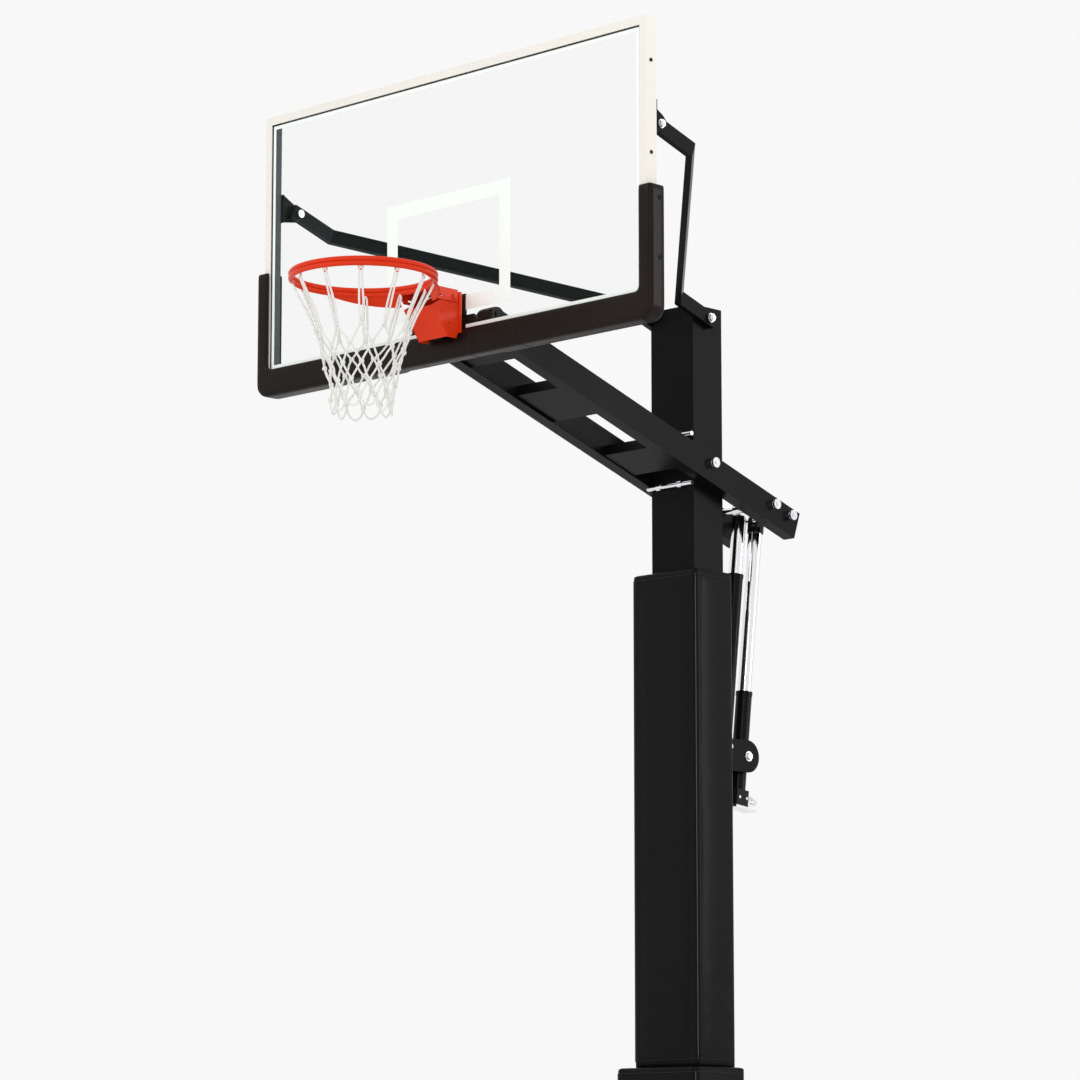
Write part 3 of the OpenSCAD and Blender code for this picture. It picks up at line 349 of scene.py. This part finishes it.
def buildNet():
    low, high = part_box("ring")
    mid = Vector(((low.x + high.x) / 2, (low.y + high.y) / 2, 0))
    top = high.z - net["below"]
    count = net["loops"]
    step = 2 * math.pi / count
    upward = Vector((0, 0, 1))
    parts = []

    def spot(row, turn):
        angle = (turn + 0.5) * step
        j = net["jitter"]
        r = net["radii"][row] + random.uniform(-j, j)
        z = top - net["drops"][row] + random.uniform(-j, j)
        angle += random.uniform(-j, j) / r
        return mid + Vector((math.cos(angle) * r, math.sin(angle) * r, z))

    def outward(p):
        return ((p - mid) * Vector((1, 1, 0))).normalized()

    def strand(a, b, sag, wave):
        mids = []
        for t in (0.33, 0.67):
            p = a.lerp(b, t)
            p = p + outward(p) * sag + Vector((random.uniform(-wave, wave),
                random.uniform(-wave, wave), random.uniform(-wave, wave)))
            mids.append(p)
        parts.append(tube(smoothPath([a, *mids, b], 4), net["cord"]))

    # a bight of cord turned round itself
    def knot(p, size):
        out = outward(p)
        side = out.cross(upward)
        wide, tall, deep = (size * share for share in net["knotShape"])
        turn = []
        for k in range(25):
            a = 2 * math.pi * k / 24
            turn.append(p + side * math.cos(a) * wide + upward * math.sin(2 * a) * tall
                + out * math.sin(a) * deep)
        parts.append(tube(turn, net["cord"] * 1.02))

    hooks = []
    for i in range(count):
        angle = (i + 0.5) * step
        hooks.append(mid + Vector((math.cos(angle) * net["radii"][0],
            math.sin(angle) * net["radii"][0], top - net["drops"][0])))
    rows = [None, [spot(1, i) for i in range(count)]]
    for row in range(2, 6):
        rows.append([spot(row, i + (0.5 if row % 2 == 0 else 0)) for i in range(count)])

    # the loop over each hook and its two long cords
    for i in range(count):
        hook, first = hooks[i], rows[1][i]
        out = outward(hook)
        side = out.cross(upward)
        spread = net["pair"] / 2
        down = upward * -net["hookDrop"]
        loop = [first - side * spread * 0.6,
            first.lerp(hook, 0.33) - side * (spread + 0.003) - out * 0.004,
            first.lerp(hook, 0.7) - side * spread * 1.2,
            hook - side * spread * 1.1 + down,
            hook + upward * net["hookRise"],
            hook + side * spread * 1.1 + down,
            first.lerp(hook, 0.7) + side * spread * 1.3,
            first.lerp(hook, 0.33) + side * (spread + 0.002) - out * 0.002,
            first + side * spread * 0.6]
        parts.append(tube(smoothPath(loop, 4), net["cord"]))
        knot(first, net["firstKnot"])

    for row in range(1, 5):
        for i in range(count):
            a = rows[row][i]
            left, right = (i - 1, i) if row % 2 == 1 else (i, i + 1)
            for turn in (left, right):
                strand(a, rows[row + 1][turn % count], random.uniform(*net["sag"]), net["wave"])
    for row in range(2, 6):
        for p in rows[row]:
            knot(p, random.uniform(*net["knots"]))

    # loops along the lower edge
    for i in range(count):
        a, b = rows[5][i], rows[5][(i + 1) % count]
        dip = net["drops"][6] - net["drops"][5] + random.uniform(*net["dip"])
        shoulder = Vector((0, 0, -dip * 0.6))
        m = a.lerp(b, 0.5) + Vector((0, 0, -dip))
        lift = Vector((0, 0, 0.003))
        path = [a, a.lerp(b, 0.12) + shoulder, m + (a - b) * 0.12 + lift,
            m + (b - a) * 0.12 + lift, a.lerp(b, 0.88) + shoulder, b]
        parts.append(tube(smoothPath(path, 5), net["cord"]))
    verts, faces = merge(parts)
    piece = newPiece("net_mesh", verts, faces, netCord, "rim")
    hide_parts("net")
    print("net made", len(verts))


# makes the modifiers' result the piece's own mesh
def apply(piece):
    graph = bpy.context.evaluated_depsgraph_get()
    mesh = bpy.data.meshes.new_from_object(piece.evaluated_get(graph))
    old = piece.data
    piece.modifiers.clear()
    piece.data = mesh
    bpy.data.meshes.remove(old)


# a copy of a plain solid as its own object, remeshed to even quads
def copyOf(node, name, voxel):
    mesh = nodes[node].data.copy()
    mesh.name = name
    piece = bpy.data.objects.new(name, mesh)
    bpy.context.scene.collection.objects.link(piece)
    remesh = piece.modifiers.new("remesh", "REMESH")
    remesh.mode = "VOXEL"
    remesh.voxel_size = voxel
    remesh.use_smooth_shade = True
    apply(piece)
    return piece


def coords(piece):
    co = np.empty(len(piece.data.vertices) * 3)
    piece.data.vertices.foreach_get("co", co)
    return co.reshape(-1, 3)


def setCoords(piece, co):
    piece.data.vertices.foreach_set("co", co.reshape(-1))
    piece.data.update()


def relax(piece, rounds):
    smooth = piece.modifiers.new("relax", "SMOOTH")
    smooth.iterations = rounds
    smooth.factor = 0.5
    apply(piece)


# the cloth that the pads' skins are made of
padCloth = {"quality": 6, "mass": 0.4, "tension_stiffness": 18, "compression_stiffness": 12,
    "bending_stiffness": 1.5, "vertex_group_mass": "held"}
clothFrames = 20


# swells a pad with air pressure; no point moves further than cap
def puff(piece, pressure, cap, held):
    before = coords(piece)
    group = piece.vertex_groups.new(name="held")
    for i, weight in enumerate(held(before)):
        if weight > 0:
            group.add([i], float(weight), "REPLACE")
    cloth = piece.modifiers.new("cloth", "CLOTH")
    cloth.settings.use_pressure = True
    cloth.settings.uniform_pressure_force = pressure
    cloth.settings.effector_weights.gravity = 0
    for key, value in padCloth.items():
        setattr(cloth.settings, key, value)
    cloth.point_cache.frame_end = clothFrames
    scene = bpy.context.scene
    for f in range(1, clothFrames + 1):
        scene.frame_set(f)
    apply(piece)
    scene.frame_set(1)
    move = coords(piece) - before
    length = np.linalg.norm(move, axis=1, keepdims=True)
    move *= np.minimum(1, cap / np.maximum(length, 1e-9))
    setCoords(piece, before + move)
    print(piece.name, "swelled by up to", round(float(length.max()), 4))


def finishPad(piece, paint, body, node):
    piece.data.materials.clear()
    piece.data.materials.append(paint.mat)
    piece.data.polygons.foreach_set("use_smooth", [True] * len(piece.data.polygons))
    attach(piece, body)
    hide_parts(node)


# the pads round the post, with soft faces and sewn corners
# skin: how deep the outer skin is pulled in; fade and least: how that fades towards an edge
postPad = {"voxel": 0.0085, "relax": 2, "shrink": 0.003, "cap": 0.004, "pressure": 2.0,
    "sink": 0.0045, "skin": 0.03, "fade": 0.04, "least": 0.15, "foot": 0.06, "hard": 0.012,
    "core": 0.008, "fill": 0.85}
footPad = {**postPad, "cap": 0.005, "pressure": 3.0, "sink": 0.0}
slackWaves = ((0.0012, (2.2, 2.2, 3.1), 0), (0.0005, (9, 9, 16), 4))  # height, frequency, start


def softWrap(name, node, make):
    low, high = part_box(node)
    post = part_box("post")[1]
    piece = copyOf(node, name, make["voxel"])
    relax(piece, make["relax"])
    co = coords(piece)
    middle = (low.z + high.z) / 2
    halfX, halfZ = (high.x - low.x) / 2, (high.z - low.z) / 2
    skin, fade, shrink = make["skin"], make["fade"], make["shrink"]
    # pull the outer skin in so that the swelling brings it back to size
    outX = np.abs(co[:, 0]) > halfX - skin
    outY = co[:, 1] < low.y + skin
    edge = np.clip((halfX - np.abs(co[:, 0])) / fade, 0, 1)
    co[outX, 0] -= np.sign(co[outX, 0]) * shrink * np.clip((co[outX, 1] - low.y) / fade,
        make["least"], 1)
    co[outY, 1] += shrink * np.maximum(edge[outY], make["least"])
    co[:, 2] = middle + (co[:, 2] - middle) * (1 - 0.3 * shrink / halfZ)
    co[:, 2] -= make["sink"] * np.clip((low.z + make["foot"] - co[:, 2]) / make["foot"], 0, 1)
    setCoords(piece, co)

    def held(points):
        x, y, z = np.abs(points[:, 0]), points[:, 1], points[:, 2]
        inside = (x < post.x + make["core"]) & (y > -post.y - make["core"])
        back = y > high.y - make["hard"]
        ends = (z > high.z - make["hard"]) | (z < low.z + make["hard"])
        sewn = (x > high.x - skin) & (y < low.y + skin)
        return np.where(inside | back | ends | sewn, 1.0, 0.0)

    puff(piece, make["pressure"], make["cap"], held)
    co = coords(piece)
    normal = np.empty(len(co) * 3)
    piece.data.vertices.foreach_get("normal", normal)
    amount = np.zeros(len(co))
    for height, pitch, start in slackWaves:
        amount += height * np.array([noise.noise(Vector((p[0] * pitch[0], p[1] * pitch[1],
            p[2] * pitch[2] + start))) for p in co])
    amount *= np.where(held(co) > 0, 0.0, 1.0)
    setCoords(piece, co + normal.reshape(-1, 3) * amount[:, None])
    return piece


# a closed mesh's surface, to lay cords and hems on
def skinOf(piece):
    mesh = piece.data
    return BVHTree.FromPolygons([v.co for v in mesh.vertices], [p.vertices for p in mesh.polygons])


def laid(tree, points, lift):
    out = []
    for p in points:
        spot, normal, _, _ = tree.find_nearest(Vector(p))
        out.append(spot + normal * lift)
    return out


# drops the points that lie closer than gap to the one before
def thinned(points, gap):
    kept = [points[0]]
    for p in points[1:]:
        if (p - kept[-1]).length > gap:
            kept.append(p)
    return kept


# stitched hems round the three open sides of a pad, set in from its top and its bottom
padHem = {"radius": 0.0016, "lift": 0.0002, "gap": 0.004, "steps": 40, "fromBack": 0.004,
    "insets": {"post_pad": (0.023, 0.023), "foot_pad": (0.021, 0.022)}}


def hem(name, piece, node, z, body):
    low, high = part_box(node)
    back = high.y - padHem["fromBack"]
    corners = [(high.x, back), (high.x, low.y), (low.x, low.y), (low.x, back)]
    path = []
    for (ax, ay), (bx, by) in zip(corners, corners[1:]):
        for k in range(padHem["steps"]):
            t = k / padHem["steps"]
            path.append((ax + (bx - ax) * t, ay + (by - ay) * t, z))
    path.append((*corners[-1], z))
    path = thinned(laid(skinOf(piece), path, padHem["lift"]), padHem["gap"])
    verts, faces = tube(path, padHem["radius"], 6)
    newPiece(name, verts, faces, padWelt, body)


# the welted seams down a pad's two front corners; their vinyl is painted lighter than the pad's, as a
# painted highlight along each corner
cornerWelt = {"radius": 0.0017, "lift": 0.0004, "ends": 0.02, "steps": 70}


def cornerSeams(name, piece, node, body):
    low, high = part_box(node)
    tree = skinOf(piece)
    first, last = low.z + cornerWelt["ends"], high.z - cornerWelt["ends"]
    parts = []
    for x in (low.x, high.x):
        path = [(x, low.y, first + (last - first) * k / cornerWelt["steps"])
            for k in range(cornerWelt["steps"] + 1)]
        parts.append(tube(laid(tree, path, cornerWelt["lift"]), cornerWelt["radius"], 6))
    verts, faces = merge(parts)
    newPiece(name, verts, faces, weltPaintedHighlight, body)


# flat webbing across the post's back; each tall strap has a lap in its middle
# heights are above each pad's lower end; bends are how far past the post's side a strap ends,
# turns on to the pad and leaves the post
strap = {"width": 0.04, "thick": 0.0018, "lift": 0.0008, "slope": 0.004 / 0.14,
    "lap": (-0.03, 0.0, 0.075), "lapNarrower": 0.004,
    "tallHeights": (0.14, 0.56, 0.94, 1.33, 1.62), "tallBends": (0.032, 0.016, 0.002),
    "footHeights": (0.076, 0.236), "footBends": (0.065, 0.03, 0.002)}


def ribbon(path, width, thick):
    verts, faces = [], []
    for x, y, z in path:
        for dz in (-width / 2, width / 2):
            for dy in (0, thick):
                verts.append((x, y + dy, z + dz))
    for i in range(len(path) - 1):
        a, b = i * 4, i * 4 + 4
        faces += [(a, b, b + 2, a + 2), (a + 1, a + 3, b + 3, b + 1), (a, a + 1, b + 1, b),
            (a + 2, b + 2, b + 3, a + 3)]
    last = (len(path) - 1) * 4
    faces += [(0, 2, 3, 1), (last, last + 1, last + 3, last + 2)]
    return verts, faces


# a strap's way over the post's back, seen from above, from the left end to the right
def strapWay(middle, bends, padBack):
    post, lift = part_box("post")[1], strap["lift"]
    end, turn, edge = (post.x + past for past in bends)
    right = [(x, post.y + lift) for x in middle]
    right += [(edge, post.y + 2 * lift), (turn, padBack + 1.5 * lift), (end, padBack + lift)]
    left = [(-x, y) for x, y in reversed(right) if x > 0]
    return left + right


def buildStraps():
    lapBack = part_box("post")[1].y + strap["lift"] + strap["thick"]
    low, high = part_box("post_pad")
    way = strapWay((0, 0.05), strap["tallBends"], high.y)
    parts = []
    for height in strap["tallHeights"]:
        z = low.z + height
        slope = random.uniform(-strap["slope"], strap["slope"])
        parts.append(ribbon([(x, y, z + slope * x) for x, y in way], strap["width"], strap["thick"]))
        lap = [(x, lapBack, z + slope * x) for x in strap["lap"]]
        parts.append(ribbon(lap, strap["width"] - strap["lapNarrower"], strap["thick"]))
    verts, faces = merge(parts)
    newPiece("pad_straps", verts, faces, strapWeb, "stand", smooth=False)
    low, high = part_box("foot_pad")
    way = strapWay((), strap["footBends"], high.y)
    parts = [ribbon([(x, y, low.z + height) for x, y in way], strap["width"], strap["thick"])
        for height in strap["footHeights"]]
    verts, faces = merge(parts)
    newPiece("foot_straps", verts, faces, strapWeb, "stand", smooth=False)


def buildPostPads():
    made = 0
    wraps = []
    for name, node, make in (("post_pad_vinyl", "post_pad", postPad),
            ("foot_pad_vinyl", "foot_pad", footPad)):
        piece = softWrap(name, node, make)
        finishPad(piece, padVinyl, "stand", node)
        wraps.append((piece, node))
    for piece, node in wraps:
        low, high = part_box(node)
        fromTop, fromBottom = padHem["insets"][node]
        for z in (high.z - fromTop, low.z + fromBottom):
            hem(f"pad_hem_{made}", piece, node, z, "stand")
            made += 1
    for piece, node in wraps:
        cornerSeams(node + "_welts", piece, node, "stand")
    buildStraps()
    print("post pads made")


# the moulded pad on the board's lower edge, with the joints of its lengths
boardPad = {"voxel": 0.006, "relax": 12, "fill": 0.95, "joints": (-0.36, -0.12, 0.12, 0.36),
    "jointTop": 0.078, "pitch": 0.004, "down": 18, "under": 17, "sunk": 0.0002, "gap": 0.003,
    "bead": 0.0011}


def buildBoardPad():
    piece = copyOf("board_pad", "board_pad_foam", boardPad["voxel"])
    relax(piece, boardPad["relax"])
    finishPad(piece, boardFoam, "board", "board_pad")
    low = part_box("board_pad")[0]
    tree = skinOf(piece)
    pitch = boardPad["pitch"]
    parts = []
    for x in boardPad["joints"]:
        down = [(x, low.y, low.z + boardPad["jointTop"] - pitch * k) for k in range(boardPad["down"])]
        under = [(x, low.y + pitch * k, low.z) for k in range(2, boardPad["under"])]
        path = thinned(laid(tree, down + under, -boardPad["sunk"]), boardPad["gap"])
        parts.append(tube(path, boardPad["bead"], 6))
    verts, faces = merge(parts)
    newPiece("board_pad_joints", verts, faces, padWelt, "board")
    print("board pad made")


# low domes along both edges of the rim's lower cover; along is the share of its length
rivets = {"radius": 0.0062, "rise": 0.003, "inset": 0.012, "along": (0.3, 0.62), "foot": 0.002,
    "rings": 5, "sides": 20}


def dome(base, across, down, out):
    rings, sides = rivets["rings"], rivets["sides"]
    verts, faces = [], []
    for k in range(rings):
        a = k / rings * math.pi / 2
        r, h = rivets["radius"] * math.cos(a), rivets["rise"] * math.sin(a)
        for s in range(sides):
            b = 2 * math.pi * s / sides
            verts.append(base + across * math.cos(b) * r + down * math.sin(b) * r + out * h)
    for k in range(rings - 1):
        for s in range(sides):
            a, b = k * sides + s, k * sides + (s + 1) % sides
            faces.append((a, b, b + sides, a + sides))
    tip, last = rings * sides, (rings - 1) * sides
    verts.append(base + out * rivets["rise"])
    faces += [(last + s, last + (s + 1) % sides, tip) for s in range(sides)]
    faces.append(tuple(reversed(range(sides))))
    return verts, faces


def buildRivets():
    low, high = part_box("rim_cover")
    top = Vector((0, low.y, high.z))
    bottom = Vector((0, high.y - rivets["foot"], low.z))
    down = (bottom - top).normalized()
    out = Vector((0, -abs(down.z), -abs(down.y))).normalized()
    across = Vector((1, 0, 0))
    parts = []
    for side in (-1, 1):
        for t in rivets["along"]:
            base = top.lerp(bottom, t) + across * side * (high.x - rivets["inset"])
            parts.append(dome(base, across, down, out))
    verts, faces = merge(parts)
    newPiece("cover_rivets", verts, faces, rimOrange, "board")
    print("rivets made")


buildLiner()
buildNet()
buildPostPads()
buildBoardPad()
buildRivets()

# floor, lights and camera
floorPaint = Paint("paleFloor", (0.86, 0.86, 0.85), 0.7)
floorPaint.patches(0.8, 2, 0.3, 0.7, (0.87, 0.87, 0.86), (0.84, 0.84, 0.83))
reach = 60
mesh = bpy.data.meshes.new("floor")
mesh.from_pydata([(-reach, -reach, 0), (reach, -reach, 0), (reach, reach, 0), (-reach, reach, 0)],
    [], [(0, 1, 2, 3)])
mesh.materials.append(floorPaint.mat)
floor = bpy.data.objects.new("floor", mesh)
bpy.context.scene.collection.objects.link(floor)

world = bpy.data.worlds.new("studio")
world.use_nodes = True
sky = world.node_tree.nodes["Background"].inputs
sky["Color"].default_value = (1, 1, 1, 1)
sky["Strength"].default_value = 0.94
bpy.context.scene.world = world


def softLight(name, place, aim, size, power):
    data = bpy.data.lights.new(name, "AREA")
    data.shape = "RECTANGLE"
    data.size, data.size_y = size
    data.energy = power
    lamp = bpy.data.objects.new(name, data)
    lamp.location = place
    lamp.rotation_euler = (Vector(aim) - Vector(place)).to_track_quat("-Z", "Y").to_euler()
    bpy.context.scene.collection.objects.link(lamp)


lights = {
    "keyLight": {"place": (-9, -21, 13), "aim": (0, -0.8, 2.6), "size": (7, 7), "power": 760},
    "sideLight": {"place": (19, 16, 6.5), "aim": (0, 0, 2.2), "size": (4.5, 9), "power": 900},
    "stripLight": {"place": (15.6, -14.6, 4.5), "aim": (0, 0, 2.2), "size": (0.8, 8), "power": 620},
}
for name, light in lights.items():
    softLight(name, **light)
bpy.context.scene.view_settings.view_transform = "Standard"
bpy.context.scene.view_settings.look = "None"

view = {"place": (9.524, -10.435, 0.03), "turn": 44.49, "tilt": 9.30, "lens": 135.55,
    "sensor": 36, "far": 200}
data = bpy.data.cameras.new("camera")
data.lens = view["lens"]
data.sensor_width = view["sensor"]
data.clip_end = view["far"]
camera = bpy.data.objects.new("camera", data)
camera.location = view["place"]
camera.rotation_euler = (math.radians(90 + view["tilt"]), 0, math.radians(view["turn"]))
bpy.context.scene.collection.objects.link(camera)
bpy.context.scene.camera = camera
print("stage set")
